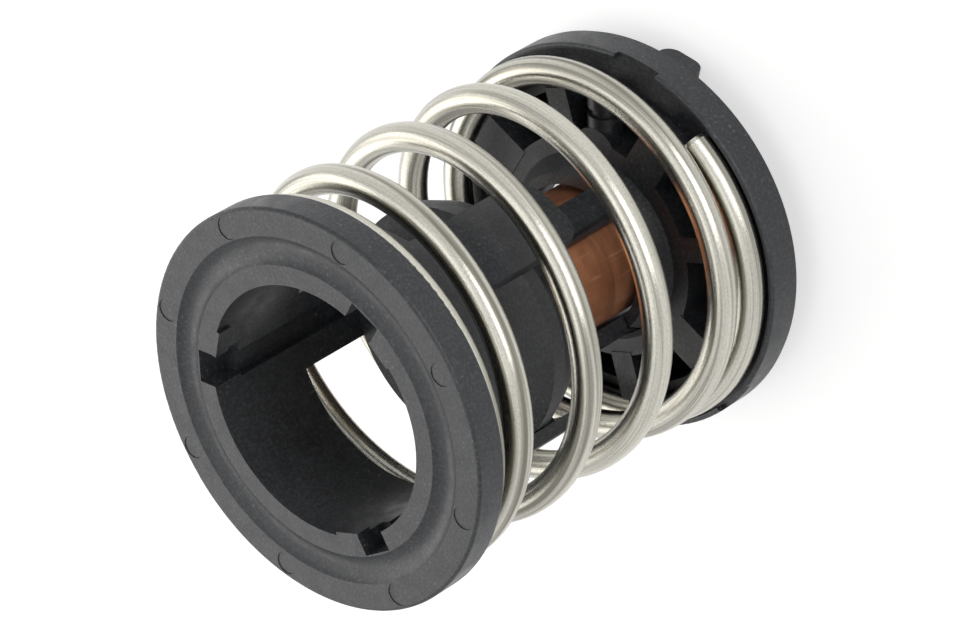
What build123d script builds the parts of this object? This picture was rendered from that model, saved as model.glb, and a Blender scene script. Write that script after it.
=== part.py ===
from build123d import *
from math import cos, pi, radians, sin
import os

# Engine thermostat cartridge, in millimetres. It stands on the rear ring's feet, front face up, axis on Z.
# A sleeve valve and a wax capsule slide down into the rear ring against a coil spring.

# Heights of the stack, from the feet up
foot_height = 4.2
rim_height = 5.0
seat_depth = 0.9
spring_length = 50.9
front_seat_depth = 1.5
flange_height = 4.25

rim_top = foot_height + rim_height
rear_seat = rim_top - seat_depth
front_seat = rear_seat + spring_length
flange_rear = front_seat - front_seat_depth
front_face = flange_rear + flange_height

# Directions of what repeats, in degrees from +X
thirds = 3
quarters = 4
leg_angle = 53.4
notch_angle = leg_angle - 3.0
tooth_angle = leg_angle - 17.0
spoke_angle = 18.9
web_angle = -24.0
lobe_angle = 78.9
stub_angle = -41.1
foot_angle = 66.9
recess_angle = 69.7

# Coil spring
wire_radius = 1.8
coil_radius = 22.4
coil_turns = 5.3
coil_start = -78.0
rear_ramp_turns = 1.6
front_ramp_turns = 1.4
front_dead_turns = 0.1
lean = 2.4
lean_angle = -91.1
bow = 0.8
bow_angle = -6.1
points_per_turn = 14
seat_clearance = 0.04
coil_clearance = 0.3
seat_lip = 0.65

# Valve sleeve: flange, skirt and hooked legs
flange_edge = 0.4
bore_radius = 15.6
lip_width = 2.45
groove_width = 3.45
groove_depth = 0.75
skirt_wall = 1.5
skirt_depth = 14.15
seat_shoulder_height = 1.6
leg_width = 9.9
leg_depth = 33.65
leg_corner = 2.0
notch_width = 4.2
notch_radius = 17.8
channel_depth = 0.9
channel_width = 3.3
tooth_width = 3.5
tooth_height = 0.5
tooth_length = 2.0
hook_reach = 2.2
hook_height = 1.8
mark_count = 8
mark_radius = 1.45
mark_circle = 23.05
mark_angle = 35.9
mark_depth = 0.1

# Capsule carrier: disc with a cover over the capsule's mouth, and straps
disc_front_depth = 24.15
disc_thickness = 4.6
disc_clearance = 0.15
disc_land = 2.0
disc_taper = 1.05
cover_thickness = 0.9
guide_hole_clearance = 0.3
strap_width = 4.6
strap_rib_width = 3.9
strap_gap = 0.25
strap_thickness = 2.15
strap_base = 1.3
strap_hook_reach = 1.4
strap_hook_height = 1.75

# Rear ring: rim, spokes, hub and feet
shoulder_wall = 1.1
rim_edge = 0.4
band_height = 0.8
band_depth = 0.35
floor_thickness = 1.0
spoke_width = 5.0
spoke_top = 12.0
web_width = 3.2
collar_top = 15.0
collar_gap = 0.7
collar_wall = 1.4
collar_flare = 1.6
plate_top = 11.9
plate_thickness = 2.0
hook_room = 2.1
hub_wall = 1.0
lobe_radius = 3.2
lobe_inset = 1.8
stub_radius = 2.15
stub_root = 0.4
stub_end = 19.9
stub_groove_start = 17.2
stub_groove_width = 1.0
stub_groove_depth = 0.5
slot_clearance = 0.3
recess_width = 6.2
foot_width = 5.8
foot_thickness = 2.6
foot_circle = 21.5
foot_corner = 1.8

# Wax capsule
cup_radius = 8.5
cup_wall = 0.7
cup_corner = 1.6
cup_bottom = 10.0
mouth_flare = 1.1
mouth_lip = 1.3
mouth_clearance = 0.3
boot_flange = 0.8
guide_flange = 0.9
guide_neck_radius = 3.4
guide_foot_radius = 4.4
guide_neck_height = 7.0
pin_radius = 1.9
pin_clearance = 0.05
pin_tip_height = 3.0
pin_edge = 0.3
boot_clearance = 0.08
boot_wall = 1.4
boot_end = 1.2
pin_seat = 26.0
washer_radius = 3.6
washer_thickness = 0.6
fill_clearance = 0.02

coil_inner_radius = coil_radius - wire_radius
coil_outer_radius = coil_radius + wire_radius
shoulder_radius = coil_inner_radius - coil_clearance
seat_outer_radius = coil_outer_radius + coil_clearance / 2
flange_radius = seat_outer_radius + seat_lip
rim_radius = seat_outer_radius + seat_lip
rim_inner_radius = shoulder_radius - shoulder_wall
skirt_radius = bore_radius + skirt_wall
skirt_bottom = front_face - skirt_depth
leg_tip = front_face - leg_depth
disc_front = front_face - disc_front_depth
disc_rear = disc_front - disc_thickness
plate_bottom = plate_top - plate_thickness
mouth_radius = cup_radius + mouth_flare
strap_inner_radius = cup_radius + strap_gap
strap_outer_radius = strap_inner_radius + strap_thickness
collar_bore_radius = cup_radius + collar_gap
collar_radius = collar_bore_radius + collar_wall
collar_foot_radius = collar_radius + collar_flare
plate_radius = strap_outer_radius + strap_hook_reach + hook_room
lobe_circle = plate_radius - lobe_inset
stub_start = plate_radius - stub_root


def radial_plane(angle):
    """The upright plane through the axis whose first direction points outwards at the angle."""
    turn = radians(angle)
    return Plane(origin=(0, 0, 0), x_dir=(cos(turn), sin(turn), 0), z_dir=(sin(turn), -cos(turn), 0))


def outward_plane(angle, radius):
    """The upright plane that faces outwards at the angle, at a distance from the axis."""
    turn = radians(angle)
    place = (radius * cos(turn), radius * sin(turn), 0)
    return Plane(origin=place, x_dir=(-sin(turn), cos(turn), 0), z_dir=(cos(turn), sin(turn), 0))


def around(first):
    """The three directions of a feature that repeats round the axis."""
    return [first + 360 / thirds * step for step in range(thirds)]


# Valve sleeve: the flange's front has an outer flat, a shallow round groove and an inner lip
lip_radius = bore_radius + lip_width
groove_radius = lip_radius + groove_width
groove_middle = (lip_radius + groove_radius) / 2
with BuildPart() as valve_sleeve:
    with BuildSketch(Plane.XZ):
        with BuildLine():
            Line((bore_radius, skirt_bottom), (bore_radius, front_face))
            Line((bore_radius, front_face), (lip_radius, front_face))
            ThreePointArc(
                (lip_radius, front_face),
                (groove_middle, front_face - groove_depth),
                (groove_radius, front_face),
            )
            Polyline(
                (groove_radius, front_face),
                (flange_radius, front_face),
                (flange_radius, flange_rear),
                (seat_outer_radius, flange_rear),
                (seat_outer_radius, front_seat),
                (shoulder_radius, front_seat),
                (shoulder_radius, flange_rear),
                (shoulder_radius - seat_shoulder_height, flange_rear - seat_shoulder_height),
                (skirt_radius, flange_rear - seat_shoulder_height),
                (skirt_radius, skirt_bottom),
                (bore_radius, skirt_bottom),
            )
        make_face()
    revolve(axis=Axis.Z)
    rim_edges = valve_sleeve.edges().filter_by(GeomType.CIRCLE).group_by(SortBy.RADIUS)[-1]
    fillet(rim_edges, flange_edge)
    with BuildSketch(Plane.XY.offset(leg_tip)):
        with PolarLocations(bore_radius, thirds, start_angle=leg_angle):
            Rectangle(4 * skirt_wall, leg_width)
        Circle(skirt_radius, mode=Mode.INTERSECT)
        Circle(bore_radius, mode=Mode.SUBTRACT)
    extrude(amount=skirt_bottom - leg_tip)
    tip_edges = valve_sleeve.edges().filter_by(GeomType.LINE).group_by(Axis.Z)[0]
    fillet(tip_edges, leg_corner)
    with BuildSketch(Plane.XY.offset(disc_rear)):
        with PolarLocations(bore_radius, thirds, start_angle=leg_angle):
            Rectangle(2 * channel_depth, channel_width)
    extrude(amount=flange_rear - disc_rear, mode=Mode.SUBTRACT)
    with BuildSketch(Plane.XY.offset(front_face)):
        with PolarLocations(bore_radius, thirds, start_angle=notch_angle):
            Rectangle(2 * (notch_radius - bore_radius), notch_width)
    extrude(amount=-flange_height, mode=Mode.SUBTRACT)
    with BuildSketch(Plane.XY.offset(front_face)):
        with PolarLocations(bore_radius, thirds, start_angle=tooth_angle):
            Rectangle(2 * tooth_height, tooth_width)
    extrude(amount=-tooth_length)
    for angle in around(leg_angle):
        with BuildSketch(radial_plane(angle)):
            with BuildLine():
                Polyline(
                    (bore_radius + skirt_wall / 2, disc_rear),
                    (bore_radius - hook_reach, disc_rear),
                    (bore_radius - hook_reach, disc_rear - hook_height / 3),
                    (bore_radius - hook_reach / 3, disc_rear - hook_height),
                    (bore_radius + skirt_wall / 2, disc_rear - hook_height),
                    close=True,
                )
            make_face()
        extrude(amount=channel_width / 2, both=True)
    with BuildSketch(Plane.XY.offset(front_face)):
        with PolarLocations(mark_circle, mark_count, start_angle=mark_angle):
            Circle(mark_radius)
    extrude(amount=-mark_depth, mode=Mode.SUBTRACT)

# Capsule carrier: the disc's edge tapers to the rear, and its cover and a rear lip hold the capsule's mouth
disc_radius = bore_radius - disc_clearance
pocket_radius = mouth_radius + mouth_clearance
cover_rear = disc_front - cover_thickness
mouth_height = cup_wall + boot_flange + guide_flange + cup_wall
pocket_rear = cover_rear - seat_clearance - mouth_height
guide_hole_radius = guide_foot_radius + guide_hole_clearance
hook_top = plate_bottom - seat_clearance
with BuildPart() as capsule_carrier:
    with BuildSketch(Plane.XZ):
        with BuildLine():
            Polyline(
                (cup_radius + fill_clearance, disc_rear),
                (cup_radius + fill_clearance, pocket_rear),
                (pocket_radius, pocket_rear),
                (pocket_radius, cover_rear),
                (guide_hole_radius, cover_rear),
                (guide_hole_radius, disc_front),
                (disc_radius, disc_front),
                (disc_radius, disc_front - disc_land),
                (disc_radius - disc_taper, disc_rear),
                close=True,
            )
        make_face()
    revolve(axis=Axis.Z)
    for angle in around(leg_angle):
        with BuildSketch(radial_plane(angle)):
            with BuildLine():
                Polyline(
                    (strap_inner_radius, disc_rear),
                    (strap_inner_radius + strap_base, disc_rear),
                    (strap_inner_radius + strap_base, hook_top - strap_hook_height),
                    (strap_inner_radius, hook_top - strap_hook_height),
                    close=True,
                )
            make_face()
        extrude(amount=strap_width / 2, both=True)
        with BuildSketch(radial_plane(angle)):
            with BuildLine():
                Polyline(
                    (strap_inner_radius + strap_base / 2, disc_rear),
                    (strap_outer_radius, disc_rear),
                    (strap_outer_radius, hook_top),
                    (strap_outer_radius + strap_hook_reach, hook_top),
                    (strap_outer_radius + strap_hook_reach, hook_top - strap_hook_height / 3),
                    (strap_outer_radius, hook_top - strap_hook_height),
                    (strap_inner_radius + strap_base / 2, hook_top - strap_hook_height),
                    close=True,
                )
            make_face()
        extrude(amount=strap_rib_width / 2, both=True)

# Rear ring: the spring sits in a shallow channel in the rim, and the hub's collar guides capsule and straps
slot_width = strap_width + 2 * slot_clearance
slot_radius = strap_outer_radius + slot_clearance
pocket_floor = foot_height + floor_thickness
with BuildPart() as rear_ring:
    with BuildSketch(Plane.XZ):
        with BuildLine():
            Polyline(
                (plate_radius - hub_wall, foot_height),
                (rim_radius - band_depth, foot_height),
                (rim_radius - band_depth, foot_height + band_height),
                (rim_radius, foot_height + band_height),
                (rim_radius, rim_top),
                (seat_outer_radius, rim_top),
                (seat_outer_radius, rear_seat),
                (shoulder_radius, rear_seat),
                (shoulder_radius, rim_top),
                (rim_inner_radius, rim_top),
                (rim_inner_radius, pocket_floor),
                (plate_radius, pocket_floor),
                (plate_radius, plate_top),
                (plate_radius - hub_wall, plate_top),
                close=True,
            )
        make_face()
    revolve(axis=Axis.Z)
    lip_edges = rear_ring.edges().filter_by(GeomType.CIRCLE).group_by(SortBy.RADIUS)[-1]
    fillet(lip_edges.sort_by(Axis.Z)[-1], rim_edge)
    with BuildSketch(Plane.XY.offset(plate_bottom)):
        Circle(plate_radius)
        with PolarLocations(lobe_circle, thirds, start_angle=lobe_angle):
            Circle(lobe_radius)
    extrude(amount=plate_thickness)
    with BuildSketch(Plane.XZ):
        with BuildLine():
            Polyline(
                (0, plate_bottom),
                (collar_foot_radius, plate_bottom),
                (collar_foot_radius, plate_top),
                (collar_radius, collar_top),
                (0, collar_top),
                close=True,
            )
        make_face()
    revolve(axis=Axis.Z)
    spoke_middle = (plate_radius - hub_wall / 2 + shoulder_radius) / 2
    spoke_length = shoulder_radius - plate_radius + hub_wall / 2
    with BuildSketch(Plane.XY.offset(foot_height)):
        with PolarLocations(spoke_middle, quarters, start_angle=spoke_angle):
            Rectangle(spoke_length, spoke_width)
        with PolarLocations(spoke_middle, quarters, start_angle=web_angle):
            Rectangle(spoke_length, web_width)
    extrude(amount=spoke_top - foot_height)
    with BuildSketch(Plane.XY.offset(plate_bottom)):
        Circle(collar_bore_radius)
        with PolarLocations(slot_radius / 2, thirds, start_angle=leg_angle):
            Rectangle(slot_radius, slot_width)
    extrude(amount=collar_top - plate_bottom, mode=Mode.SUBTRACT)
    stub_plane = radial_plane(stub_angle)
    stub_height = plate_top - stub_radius
    stub_groove_end = stub_groove_start + stub_groove_width
    with BuildSketch(stub_plane):
        with BuildLine():
            Polyline(
                (stub_start, stub_height),
                (stub_start, plate_top),
                (stub_groove_start, plate_top),
                (stub_groove_start, plate_top - stub_groove_depth),
                (stub_groove_end, plate_top - stub_groove_depth),
                (stub_groove_end, plate_top),
                (stub_end, plate_top),
                (stub_end, stub_height),
                close=True,
            )
        make_face()
    revolve(axis=Axis(stub_plane.from_local_coords((stub_start, stub_height, 0)), stub_plane.x_dir))
    for angle in around(recess_angle):
        with BuildSketch(outward_plane(angle, seat_outer_radius - coil_clearance)):
            with Locations((0, rim_top)):
                Rectangle(recess_width, 2 * seat_depth)
        extrude(amount=rim_radius, mode=Mode.SUBTRACT)
    for angle in around(foot_angle):
        with BuildSketch(outward_plane(angle, foot_circle)):
            with BuildLine():
                Polyline(
                    (-foot_width / 2, foot_corner),
                    (-foot_width / 2, foot_height),
                    (foot_width / 2, foot_height),
                    (foot_width / 2, foot_corner),
                )
                TangentArc((foot_width / 2, foot_corner), (foot_width / 2 - foot_corner, 0), tangent=(0, -1))
                Line((foot_width / 2 - foot_corner, 0), (foot_corner - foot_width / 2, 0))
                TangentArc((foot_corner - foot_width / 2, 0), (-foot_width / 2, foot_corner), tangent=(-1, 0))
            make_face()
        extrude(amount=foot_thickness / 2, both=True)

# Coil spring: closed ends, even pitch between them, wound left-hand, its open turns a little askew
active_turns = coil_turns - front_dead_turns - rear_ramp_turns - front_ramp_turns
coil_rise = spring_length - 2 * (wire_radius + seat_clearance)
pitch = coil_rise / (active_turns + (rear_ramp_turns + front_ramp_turns) / 2)
front_ramp_start = coil_turns - front_dead_turns - front_ramp_turns


def ramp(turns, length):
    """Rise in turns of full pitch after some turns of a ramp whose slope grows evenly from nothing."""
    inside = min(max(turns, 0), length)
    return inside * inside / (2 * length) + max(turns - length, 0)


def openness(turn):
    """Share of the full pitch at a turn, from nothing at a closed end to 1."""
    opening = min(max(turn / rear_ramp_turns, 0), 1)
    closing = min(max((turn - front_ramp_start) / front_ramp_turns, 0), 1)
    return opening - closing


def coil_point(turn):
    """The wire's centre after some turns from its rear end."""
    direction = radians(coil_start) - 2 * pi * turn
    height = rear_seat + seat_clearance + wire_radius
    height += pitch * (ramp(turn, rear_ramp_turns) - ramp(turn - front_ramp_start, front_ramp_turns))
    height -= lean * openness(turn) * (1 - cos(direction - radians(lean_angle))) / 2
    offset = bow * sin(pi * turn / coil_turns)
    across = coil_radius * cos(direction) + offset * cos(radians(bow_angle))
    along = coil_radius * sin(direction) + offset * sin(radians(bow_angle))
    return (across, along, height)


coil_steps = round(coil_turns * points_per_turn)
coil_points = [coil_point(coil_turns * step / coil_steps) for step in range(coil_steps + 1)]
with BuildPart() as coil_spring:
    with BuildLine() as wire_line:
        Spline(*coil_points)
    with BuildSketch(Plane(origin=wire_line.line @ 0, z_dir=wire_line.line % 0)):
        Circle(wire_radius)
    sweep(is_frenet=True)

# Capsule cup: a drawn cup whose mouth is widened to a ledge and rolled over the guide's flange
ledge_bottom = pocket_rear
ledge_top = ledge_bottom + cup_wall
boot_top = ledge_top + boot_flange
guide_top = boot_top + guide_flange
cup_inner_radius = cup_radius - cup_wall
mouth_inner_radius = mouth_radius - cup_wall
cup_floor = cup_bottom + cup_wall
with BuildPart() as capsule_cup:
    with BuildSketch(Plane.XZ):
        with BuildLine():
            Polyline((0, cup_floor), (0, cup_bottom), (cup_radius - cup_corner, cup_bottom))
            RadiusArc(
                (cup_radius - cup_corner, cup_bottom), (cup_radius, cup_bottom + cup_corner), -cup_corner
            )
            Polyline(
                (cup_radius, cup_bottom + cup_corner),
                (cup_radius, ledge_bottom),
                (mouth_radius, ledge_bottom),
                (mouth_radius, guide_top + cup_wall / 2),
                (mouth_radius - cup_wall / 2, guide_top + cup_wall),
                (mouth_inner_radius - mouth_lip, guide_top + cup_wall),
                (mouth_inner_radius - mouth_lip, guide_top),
                (mouth_inner_radius, guide_top),
                (mouth_inner_radius, ledge_top),
                (cup_inner_radius, ledge_top),
                (cup_inner_radius, cup_bottom + cup_corner),
            )
            RadiusArc(
                (cup_inner_radius, cup_bottom + cup_corner),
                (cup_radius - cup_corner, cup_floor),
                cup_corner - cup_wall,
            )
            Line((cup_radius - cup_corner, cup_floor), (0, cup_floor))
        make_face()
    revolve(axis=Axis.Z)

# Guide bush: flange under the rolled mouth, tapered neck, and a bore for the pin
guide_bore_radius = pin_radius + pin_clearance
neck_top = guide_top + guide_neck_height
with BuildPart() as guide_bush:
    with BuildSketch(Plane.XZ):
        with BuildLine():
            Polyline(
                (guide_bore_radius, boot_top + washer_thickness),
                (washer_radius + fill_clearance, boot_top + washer_thickness),
                (washer_radius + fill_clearance, boot_top),
                (mouth_inner_radius - fill_clearance, boot_top),
                (mouth_inner_radius - fill_clearance, guide_top),
                (guide_foot_radius, guide_top),
                (guide_neck_radius, neck_top),
                (guide_bore_radius, neck_top),
                close=True,
            )
        make_face()
    revolve(axis=Axis.Z)

# Support washer: fills the step in the guide's underside, close round the pin
with BuildPart() as support_washer:
    with BuildSketch(Plane.XY.offset(boot_top)):
        Circle(washer_radius)
        Circle(guide_bore_radius, mode=Mode.SUBTRACT)
    extrude(amount=washer_thickness)

# Squeeze boot: a flange clamped in the mouth, and a closed finger round the pin
boot_bore_radius = pin_radius + boot_clearance
boot_radius = boot_bore_radius + boot_wall
boot_floor = pin_seat - boot_clearance
with BuildPart() as squeeze_boot:
    with BuildSketch(Plane.XZ):
        with BuildLine():
            Polyline(
                (0, boot_floor - boot_end),
                (boot_radius - pin_radius / 2, boot_floor - boot_end),
                (boot_radius, boot_floor),
                (boot_radius, ledge_top),
                (mouth_inner_radius - fill_clearance, ledge_top),
                (mouth_inner_radius - fill_clearance, boot_top),
                (boot_bore_radius, boot_top),
                (boot_bore_radius, boot_floor),
                (0, boot_floor),
                close=True,
            )
        make_face()
    revolve(axis=Axis.Z)

# Wax charge: everything in the cup below the boot's flange
with BuildPart() as wax_charge:
    with BuildSketch(Plane.XZ):
        with BuildLine():
            Polyline(
                (0, boot_floor - boot_end - fill_clearance),
                (boot_radius - pin_radius / 2 + fill_clearance, boot_floor - boot_end - fill_clearance),
                (boot_radius + fill_clearance, boot_floor - fill_clearance),
                (boot_radius + fill_clearance, ledge_top),
                (cup_inner_radius - fill_clearance, ledge_top),
                (cup_inner_radius - fill_clearance, cup_bottom + cup_corner),
            )
            RadiusArc(
                (cup_inner_radius - fill_clearance, cup_bottom + cup_corner),
                (cup_radius - cup_corner, cup_floor + fill_clearance),
                cup_corner - cup_wall - fill_clearance,
            )
            Polyline(
                (cup_radius - cup_corner, cup_floor + fill_clearance),
                (0, cup_floor + fill_clearance),
                (0, boot_floor - boot_end - fill_clearance),
            )
        make_face()
    revolve(axis=Axis.Z)

# Piston pin: chamfered at both ends
pin_top = neck_top + pin_tip_height
with BuildPart() as piston_pin:
    with BuildSketch(Plane.XY.offset(pin_seat)):
        Circle(pin_radius)
    extrude(amount=pin_top - pin_seat)
    chamfer(piston_pin.edges().filter_by(GeomType.CIRCLE), pin_edge)

pieces = {
    "valve_sleeve": valve_sleeve,
    "capsule_carrier": capsule_carrier,
    "rear_ring": rear_ring,
    "coil_spring": coil_spring,
    "capsule_cup": capsule_cup,
    "guide_bush": guide_bush,
    "support_washer": support_washer,
    "squeeze_boot": squeeze_boot,
    "wax_charge": wax_charge,
    "piston_pin": piston_pin,
}
os.makedirs("parts", exist_ok=True)
for name, piece in pieces.items():
    piece.part.label = name
    export_step(piece.part, f"parts/{name}.step")
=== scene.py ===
from math import atan2, cos, degrees, pi, radians, sin

import bpy
from mathutils import Matrix, Vector


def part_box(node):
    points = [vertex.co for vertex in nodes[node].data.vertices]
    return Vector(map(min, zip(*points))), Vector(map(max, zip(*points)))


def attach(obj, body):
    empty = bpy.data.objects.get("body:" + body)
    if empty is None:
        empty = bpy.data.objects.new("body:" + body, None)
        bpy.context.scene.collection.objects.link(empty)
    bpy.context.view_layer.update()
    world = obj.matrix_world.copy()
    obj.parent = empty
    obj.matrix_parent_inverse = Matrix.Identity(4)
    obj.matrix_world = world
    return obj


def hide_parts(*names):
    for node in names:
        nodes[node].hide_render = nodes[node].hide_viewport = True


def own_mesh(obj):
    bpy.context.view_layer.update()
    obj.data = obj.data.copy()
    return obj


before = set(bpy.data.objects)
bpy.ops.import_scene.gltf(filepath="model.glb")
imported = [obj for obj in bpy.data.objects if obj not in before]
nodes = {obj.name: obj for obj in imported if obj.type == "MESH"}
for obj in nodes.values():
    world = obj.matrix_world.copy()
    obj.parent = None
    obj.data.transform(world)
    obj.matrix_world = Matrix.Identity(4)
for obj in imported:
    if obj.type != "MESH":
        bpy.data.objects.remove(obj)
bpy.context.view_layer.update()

MM = 0.001

# The photograph's camera: a long lens above the front, rolled so that the cartridge lies on its side
CAMERA_PLACE = Vector((-0.67, -409.8, 384.4)) * MM
CAMERA_FORWARD = Vector((0.0, 0.7596, -0.6504))
CAMERA_ROLL = -120.67  # degrees
CAMERA_LENS = 172.5  # mm
SENSOR_WIDTH = 36.0  # mm

# The spring's line, as in the part, with its directions in degrees
WIRE_RADIUS = 1.8 * MM
COIL_RADIUS = 22.4 * MM
COIL_TURNS = 5.3
COIL_START = -78.0
REAR_RAMP_TURNS = 1.6
FRONT_RAMP_TURNS = 1.4
FRONT_DEAD_TURNS = 0.1
LEAN, LEAN_ANGLE = 2.4 * MM, -91.1
BOW, BOW_ANGLE = 0.8 * MM, -6.1

# The wire's mesh: steps, roundness, and the ends' chamfer in turns and as a share of the radius
WIRE_STEPS = 560
WIRE_RINGS = 8
END_CHAMFER = 0.0035
END_SHARE = 0.8

# Edges that bend by less than this are shaded smooth
SMOOTH_ANGLE = radians(30)

# The stage: a disc of floor, its own glow, the light from all round, and the lamps
FLOOR_RADIUS = 0.6
FLOOR_GLOW = 0.58
WORLD_LIGHT = 0.4
LAMP_TARGET = Vector((0.0, 0.0, 0.03))
WHITE = (1.0, 1.0, 1.0)
LAMPS = (
    # name, place, size in metres, power in watts, colour
    ("top", (0.1, 0.0, 0.75), (1.0, 1.0), 2.7, WHITE),
    ("back", (0.25, 0.62, 0.4), (0.9, 0.5), 2.5, (1.0, 0.975, 0.93)),
    ("front", (-0.03, -0.54, 0.14), (0.45, 0.22), 1.1, WHITE),
)


def pick(o):
    """Selects one object and nothing else."""
    for other in bpy.context.selected_objects:
        other.select_set(False)
    o.select_set(True)
    bpy.context.view_layer.objects.active = o


# Node helpers


def link(tree, a, b):
    tree.links.new(a, b)


def new_node(tree, kind, **settings):
    node = tree.nodes.new(kind)
    for name, value in settings.items():
        setattr(node, name, value)
    return node


def new_group(name, inputs, outputs):
    """An empty shader node group. Its inputs are (name, type, value) and its outputs (name, type)."""
    group = bpy.data.node_groups.new(name, "ShaderNodeTree")
    for label, kind, value in inputs:
        socket = group.interface.new_socket(label, in_out="INPUT", socket_type=kind)
        socket.default_value = value
    for label, kind in outputs:
        group.interface.new_socket(label, in_out="OUTPUT", socket_type=kind)
    return group, group.nodes.new("NodeGroupInput"), group.nodes.new("NodeGroupOutput")


def noise(tree, vector, scale, detail=4.0, roughness=0.55):
    node = new_node(tree, "ShaderNodeTexNoise")
    node.inputs["Detail"].default_value = detail
    node.inputs["Roughness"].default_value = roughness
    if isinstance(scale, float):
        node.inputs["Scale"].default_value = scale
    else:
        link(tree, scale, node.inputs["Scale"])
    link(tree, vector, node.inputs["Vector"])
    return node.outputs["Fac"]


def remap(tree, value, low, high, to_low=0.0, to_high=1.0):
    node = new_node(tree, "ShaderNodeMapRange")
    for label, number in (("From Min", low), ("From Max", high), ("To Min", to_low), ("To Max", to_high)):
        node.inputs[label].default_value = number
    link(tree, value, node.inputs["Value"])
    return node.outputs["Result"]


def math_node(tree, operation, a, b=0.0):
    node = new_node(tree, "ShaderNodeMath", operation=operation)
    for socket, value in zip(node.inputs, (a, b)):
        if isinstance(value, (int, float)):
            socket.default_value = value
        else:
            link(tree, value, socket)
    return node.outputs[0]


def mix_colour(tree, factor, a, b):
    node = new_node(tree, "ShaderNodeMix", data_type="RGBA")
    for socket, value in ((node.inputs[0], factor), (node.inputs[6], a), (node.inputs[7], b)):
        if isinstance(value, tuple):
            socket.default_value = (*value, 1.0)
        elif isinstance(value, float):
            socket.default_value = value
        else:
            link(tree, value, socket)
    return node.outputs[2]


def stretched(tree, vector, scale):
    node = new_node(tree, "ShaderNodeMapping")
    node.inputs["Scale"].default_value = scale
    link(tree, vector, node.inputs["Vector"])
    return node.outputs["Vector"]


def make_surface_group():
    """Uneven shade and fine grain, in object space: a shade from 0 to 1 and a height for bump."""
    group, given, result = new_group(
        "uneven surface",
        [("Blotch scale", "NodeSocketFloat", 90.0), ("Grain scale", "NodeSocketFloat", 1800.0)],
        [("Shade", "NodeSocketFloat"), ("Height", "NodeSocketFloat")],
    )
    place = new_node(group, "ShaderNodeTexCoord").outputs["Object"]
    blotch = noise(group, place, given.outputs["Blotch scale"], 5.0, 0.6)
    grain = noise(group, place, given.outputs["Grain scale"], 2.0, 0.5)
    link(group, remap(group, blotch, 0.3, 0.7), result.inputs["Shade"])
    link(group, grain, result.inputs["Height"])
    return group


def make_fleck_group():
    """Stray pale specks of dust and glass fibre: a mask from 0 to 1."""
    group, given, result = new_group(
        "stray flecks",
        [("Fleck scale", "NodeSocketFloat", 900.0), ("Rarity", "NodeSocketFloat", 0.5)],
        [("Mask", "NodeSocketFloat")],
    )
    place = new_node(group, "ShaderNodeTexCoord").outputs["Object"]
    fleck = remap(group, noise(group, place, given.outputs["Fleck scale"], 3.0, 0.6), 0.64, 0.72)
    patch = math_node(group, "SUBTRACT", noise(group, place, 110.0, 3.0, 0.5), given.outputs["Rarity"])
    link(group, math_node(group, "MULTIPLY", fleck, remap(group, patch, 0.0, 0.12)), result.inputs["Mask"])
    return group


def new_material(name):
    made = bpy.data.materials.new(name)
    made.use_nodes = True
    return made, made.node_tree, made.node_tree.nodes["Principled BSDF"]


def place_group(tree, group, **values):
    node = new_node(tree, "ShaderNodeGroup", node_tree=group)
    for label, value in values.items():
        node.inputs[label.replace("_", " ")].default_value = value
    return node


def bump(tree, shader, height, distance, strength=1.0):
    node = new_node(tree, "ShaderNodeBump")
    node.inputs["Distance"].default_value = distance
    node.inputs["Strength"].default_value = strength
    link(tree, height, node.inputs["Height"])
    link(tree, node.outputs["Normal"], shader.inputs["Normal"])


uneven = make_surface_group()
flecks = make_fleck_group()


def make_moulding():
    """Black glass-filled moulding: nearly black with a mottled sheen, fine grain and a few pale specks."""
    made, tree, shader = new_material("black moulding")
    surface = place_group(tree, uneven, Blotch_scale=420.0, Grain_scale=2600.0)
    dust = place_group(tree, flecks, Fleck_scale=2600.0, Rarity=0.5)
    base = mix_colour(tree, surface.outputs["Shade"], (0.0105, 0.0115, 0.0135), (0.017, 0.0183, 0.0205))
    fibre = remap(tree, surface.outputs["Height"], 0.42, 0.72)
    grained = mix_colour(tree, fibre, base, (0.038, 0.041, 0.047))
    speckled = mix_colour(tree, dust.outputs["Mask"], grained, (0.14, 0.14, 0.137))
    link(tree, speckled, shader.inputs["Base Color"])
    link(tree, remap(tree, surface.outputs["Shade"], 0.0, 1.0, 0.34, 0.52), shader.inputs["Roughness"])
    shader.inputs["Specular IOR Level"].default_value = 0.44
    bump(tree, shader, surface.outputs["Height"], 0.00004, 0.6)
    return made


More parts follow.
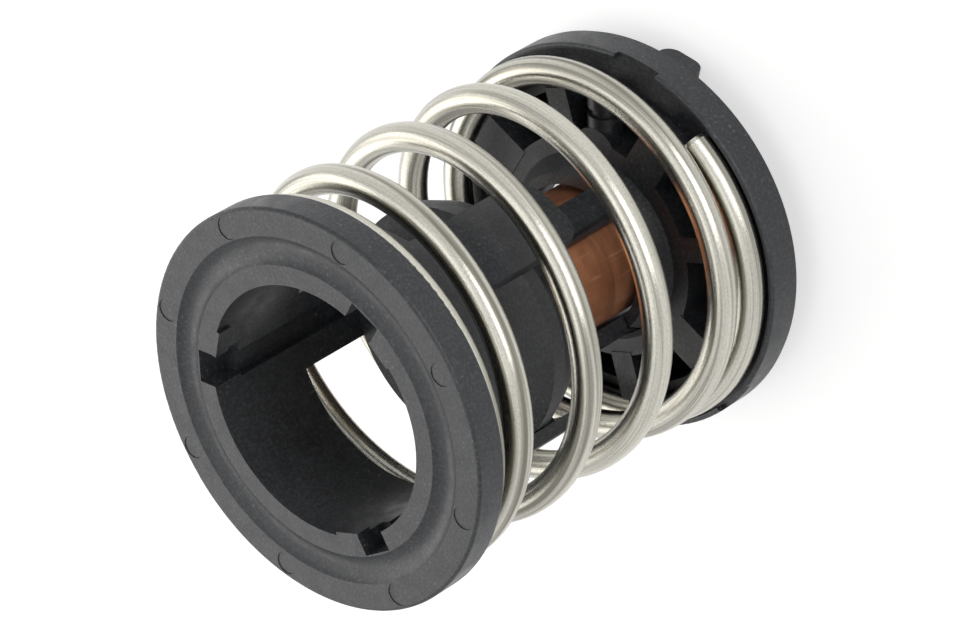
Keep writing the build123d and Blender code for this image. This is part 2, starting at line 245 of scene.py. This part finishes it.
def make_spring_steel():
    """Satin drawn wire: streaks along it, partly die lines and partly painted highlight lines, with painted
    dark reflection stripes, read from the wire's own coordinates, and a fine grain.
    """
    made, tree, shader = new_material("drawn spring steel")
    wire = new_node(tree, "ShaderNodeSeparateXYZ")
    link(tree, new_node(tree, "ShaderNodeUVMap", uv_map="wire").outputs["UV"], wire.inputs[0])
    around = math_node(tree, "MULTIPLY", wire.outputs["Y"], 2 * pi)
    place = new_node(tree, "ShaderNodeCombineXYZ")
    link(tree, wire.outputs["X"], place.inputs["X"])
    link(tree, math_node(tree, "COSINE", around), place.inputs["Y"])
    link(tree, math_node(tree, "SINE", around), place.inputs["Z"])
    # Painted reflection: dark stripes along and round the wire, where a real wire reflects dark surroundings
    painted_reflection_band = noise(tree, stretched(tree, place.outputs[0], (3.0, 2.2, 2.2)), 1.0, 2.0, 0.5)
    streak = noise(tree, stretched(tree, place.outputs[0], (9.0, 9.0, 9.0)), 1.0, 5.0, 0.65)
    scratch = noise(tree, stretched(tree, place.outputs[0], (30.0, 34.0, 34.0)), 1.0, 3.0, 0.6)
    surface = place_group(tree, uneven, Blotch_scale=260.0, Grain_scale=4200.0)
    pits = remap(tree, surface.outputs["Height"], 0.3, 0.55, 0.75, 1.0)
    # Lighter streaks along the wire: partly die lines, partly painted highlight lines
    drawn = mix_colour(tree, remap(tree, streak, 0.3, 0.7), (0.44, 0.425, 0.37), (0.64, 0.625, 0.56))
    tone = mix_colour(tree, remap(tree, painted_reflection_band, 0.32, 0.52), (0.19, 0.182, 0.15), drawn)
    link(tree, mix_colour(tree, pits, (0.2, 0.19, 0.16), tone), shader.inputs["Base Color"])
    shader.inputs["Metallic"].default_value = 1.0
    link(tree, remap(tree, scratch, 0.3, 0.7, 0.2, 0.3), shader.inputs["Roughness"])
    height = math_node(tree, "ADD", scratch, surface.outputs["Height"])
    bump(tree, shader, height, 0.00003, 0.3)
    return made


def make_copper():
    """Satin drawn copper with fine rings round the cup and a few pale marks along it, partly rubbed wear and
    partly painted highlights.
    """
    made, tree, shader = new_material("drawn copper")
    place = new_node(tree, "ShaderNodeTexCoord").outputs["Object"]
    rings = noise(tree, stretched(tree, place, (90.0, 90.0, 900.0)), 1.0, 5.0, 0.6)
    marks = noise(tree, stretched(tree, place, (1500.0, 1500.0, 130.0)), 1.0, 3.0, 0.6)
    surface = place_group(tree, uneven, Blotch_scale=220.0, Grain_scale=2800.0)
    tone = mix_colour(tree, surface.outputs["Shade"], (0.52, 0.215, 0.105), (0.7, 0.32, 0.175))
    # Pale marks along the cup: partly rubbed wear, partly painted highlights
    rubbed_and_painted_glint = remap(tree, marks, 0.58, 0.74)
    link(tree, mix_colour(tree, rubbed_and_painted_glint, tone, (0.86, 0.47, 0.3)), shader.inputs["Base Color"])
    shader.inputs["Metallic"].default_value = 1.0
    link(tree, remap(tree, rings, 0.3, 0.7, 0.36, 0.5), shader.inputs["Roughness"])
    height = math_node(tree, "ADD", rings, surface.outputs["Height"])
    bump(tree, shader, height, 0.00003, 0.6)
    return made


def make_metal(name, dark, light, rough):
    made, tree, shader = new_material(name)
    surface = place_group(tree, uneven, Blotch_scale=300.0, Grain_scale=3000.0)
    colour = mix_colour(tree, surface.outputs["Shade"], dark, light)
    link(tree, colour, shader.inputs["Base Color"])
    shader.inputs["Metallic"].default_value = 1.0
    roughness = remap(tree, surface.outputs["Shade"], 0.0, 1.0, rough, rough + 0.1)
    link(tree, roughness, shader.inputs["Roughness"])
    return made


def make_plain(name, dark, light, rough):
    made, tree, shader = new_material(name)
    surface = place_group(tree, uneven, Blotch_scale=200.0, Grain_scale=2200.0)
    colour = mix_colour(tree, surface.outputs["Shade"], dark, light)
    link(tree, colour, shader.inputs["Base Color"])
    roughness = remap(tree, surface.outputs["Shade"], 0.0, 1.0, rough, rough + 0.12)
    link(tree, roughness, shader.inputs["Roughness"])
    bump(tree, shader, surface.outputs["Height"], 0.00002, 0.4)
    return made


moulding = make_moulding()
spring_steel = make_spring_steel()
copper = make_copper()
brass = make_metal("turned brass", (0.55, 0.4, 0.18), (0.68, 0.52, 0.26), 0.28)
ground_steel = make_metal("ground steel", (0.55, 0.55, 0.55), (0.68, 0.68, 0.67), 0.16)
rubber = make_plain("boot rubber", (0.02, 0.02, 0.02), (0.032, 0.032, 0.032), 0.6)
white_plastic = make_plain("washer plastic", (0.7, 0.7, 0.67), (0.78, 0.78, 0.75), 0.35)
wax = make_plain("filled wax", (0.4, 0.23, 0.13), (0.5, 0.3, 0.18), 0.5)


def finish_node(name, material):
    """Gives a CAD node its material and smooth shading over its gentle edges."""
    o = nodes[name]
    o.data.materials.clear()
    o.data.materials.append(material)
    pick(o)
    bpy.ops.object.shade_smooth_by_angle(angle=SMOOTH_ANGLE)


for node_name, node_material in (
    ("valve_sleeve", moulding),
    ("capsule_carrier", moulding),
    ("rear_ring", moulding),
    ("capsule_cup", copper),
    ("guide_bush", brass),
    ("piston_pin", ground_steel),
    ("squeeze_boot", rubber),
    ("support_washer", white_plastic),
    ("wax_charge", wax),
):
    finish_node(node_name, node_material)


# Coil spring

spring_low, spring_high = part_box("coil_spring")
FRONT_RAMP_START = COIL_TURNS - FRONT_DEAD_TURNS - FRONT_RAMP_TURNS


def ramp(turns, length):
    """Rise in turns of full pitch after some turns of a ramp whose slope grows evenly from nothing."""
    inside = min(max(turns, 0.0), length)
    return inside * inside / (2 * length) + max(turns - length, 0.0)


def openness(turn):
    """Share of the full pitch at a turn, from nothing at a closed end to 1."""
    opening = min(max(turn / REAR_RAMP_TURNS, 0.0), 1.0)
    closing = min(max((turn - FRONT_RAMP_START) / FRONT_RAMP_TURNS, 0.0), 1.0)
    return opening - closing


def raw_rise(turn):
    return ramp(turn, REAR_RAMP_TURNS) - ramp(turn - FRONT_RAMP_START, FRONT_RAMP_TURNS)


def wire_centre(turn):
    """The wire's centre after some turns from its rear end."""
    direction = radians(COIL_START) - 2 * pi * turn
    rise = spring_high.z - spring_low.z - 2 * WIRE_RADIUS
    height = spring_low.z + WIRE_RADIUS + rise * raw_rise(turn) / raw_rise(COIL_TURNS)
    height -= LEAN * openness(turn) * (1 - cos(direction - radians(LEAN_ANGLE))) / 2
    offset = BOW * sin(pi * turn / COIL_TURNS)
    across = COIL_RADIUS * cos(direction) + offset * cos(radians(BOW_ANGLE))
    along = COIL_RADIUS * sin(direction) + offset * sin(radians(BOW_ANGLE))
    return Vector((across, along, height))


def place_on_wire(point):
    """The turn nearest to a point of the wire's surface, and the share of a round about the wire."""
    share = (COIL_START - degrees(atan2(point.y, point.x))) / 360 % 1.0
    turns = [min(max(share + loop, 0.0), COIL_TURNS) for loop in range(-1, 7)]
    turn = min(turns, key=lambda t: (point - wire_centre(t)).length)
    centre = wire_centre(turn)
    side = point - centre
    outward = Vector((centre.x, centre.y, 0.0)).normalized()
    return turn, atan2(side.z, side.dot(outward)) / (2 * pi)


def make_spring():
    """The wire as a swept round with its cut ends chamfered; its coordinates run along and round the wire."""
    turns = [COIL_TURNS * step / WIRE_STEPS for step in range(WIRE_STEPS + 1)]
    turns[1:1] = [END_CHAMFER]
    turns[-1:-1] = [COIL_TURNS - END_CHAMFER]
    line = bpy.data.curves.new("coil_wire", "CURVE")
    line.dimensions = "3D"
    path = line.splines.new("POLY")
    path.points.add(len(turns) - 1)
    for point, turn in zip(path.points, turns):
        point.co = (*wire_centre(turn), 1.0)
        point.radius = END_SHARE if turn in (0.0, COIL_TURNS) else 1.0
    line.bevel_depth = WIRE_RADIUS
    line.bevel_resolution = WIRE_RINGS
    line.use_fill_caps = True
    spring = bpy.data.objects.new("spring_wire", line)
    bpy.context.scene.collection.objects.link(spring)
    pick(spring)
    bpy.ops.object.convert(target="MESH")
    spring = bpy.context.view_layer.objects.active
    mesh = spring.data
    places = [place_on_wire(vertex.co) for vertex in mesh.vertices]
    wire = mesh.uv_layers.new(name="wire")
    for face in mesh.polygons:
        first = places[mesh.loops[face.loop_start].vertex_index][1]
        for index in face.loop_indices:
            turn, around = places[mesh.loops[index].vertex_index]
            wire.data[index].uv = (turn, around - round(around - first))
    bpy.ops.object.shade_smooth_by_angle(angle=SMOOTH_ANGLE)
    mesh.materials.clear()
    mesh.materials.append(spring_steel)
    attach(spring, "holder")
    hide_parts("coil_spring")
    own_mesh(spring)


make_spring()


# Camera, stage and lights


def make_camera():
    data = bpy.data.cameras.new("camera")
    data.sensor_width = SENSOR_WIDTH
    data.lens = CAMERA_LENS
    data.clip_start, data.clip_end = 0.01, 10.0
    camera = bpy.data.objects.new("camera", data)
    bpy.context.scene.collection.objects.link(camera)
    turn = CAMERA_FORWARD.to_track_quat("-Z", "Y").to_matrix() @ Matrix.Rotation(radians(CAMERA_ROLL), 3, "Z")
    camera.matrix_world = Matrix.Translation(CAMERA_PLACE) @ turn.to_4x4()
    bpy.context.scene.camera = camera


def seen_directly(tree):
    """1 for camera, glossy and transmission rays, which see the background as it is in the photograph."""
    path = new_node(tree, "ShaderNodeLightPath")
    direct = math_node(tree, "MAXIMUM", path.outputs["Is Camera Ray"], path.outputs["Is Transmission Ray"])
    return math_node(tree, "MAXIMUM", direct, path.outputs["Is Glossy Ray"])


def make_world():
    """Plain white where it is seen, and a lower even light on the object."""
    world = bpy.data.worlds.new("studio")
    bpy.context.scene.world = world
    world.use_nodes = True
    tree = world.node_tree
    light = tree.nodes["Background"]
    light.inputs["Color"].default_value = (*WHITE, 1.0)
    light.inputs["Strength"].default_value = WORLD_LIGHT
    seen = new_node(tree, "ShaderNodeBackground")
    seen.inputs["Color"].default_value = (*WHITE, 1.0)
    mix = new_node(tree, "ShaderNodeMixShader")
    link(tree, seen_directly(tree), mix.inputs[0])
    link(tree, light.outputs[0], mix.inputs[1])
    link(tree, seen.outputs[0], mix.inputs[2])
    link(tree, mix.outputs[0], tree.nodes["World Output"].inputs["Surface"])


def make_floor():
    """A pale floor whose lit part shows as the white background, with the object's soft shadow on it."""
    bpy.ops.mesh.primitive_circle_add(vertices=64, radius=FLOOR_RADIUS, fill_type="NGON", location=(0, 0, 0))
    floor = bpy.context.view_layer.objects.active
    floor.name = "floor"
    made, tree, shader = new_material("pale floor")
    shader.inputs["Base Color"].default_value = (0.62, 0.62, 0.62, 1.0)
    shader.inputs["Roughness"].default_value = 0.9
    shader.inputs["Specular IOR Level"].default_value = 0.0
    shader.inputs["Emission Color"].default_value = (*WHITE, 1.0)
    glow = math_node(tree, "MULTIPLY", seen_directly(tree), FLOOR_GLOW)
    link(tree, glow, shader.inputs["Emission Strength"])
    floor.data.materials.append(made)


def add_lamp(name, place, size, power, colour):
    """A soft square lamp that shines on the cartridge's middle."""
    data = bpy.data.lights.new(name, "AREA")
    data.shape = "RECTANGLE"
    data.size, data.size_y = size
    data.energy = power
    data.color = colour
    lamp = bpy.data.objects.new(name, data)
    bpy.context.scene.collection.objects.link(lamp)
    aim = LAMP_TARGET - Vector(place)
    lamp.matrix_world = Matrix.Translation(place) @ aim.to_track_quat("-Z", "Y").to_matrix().to_4x4()


make_camera()
make_world()
make_floor()
for lamp_values in LAMPS:
    add_lamp(*lamp_values)
bpy.context.scene.view_settings.view_transform = "Standard"
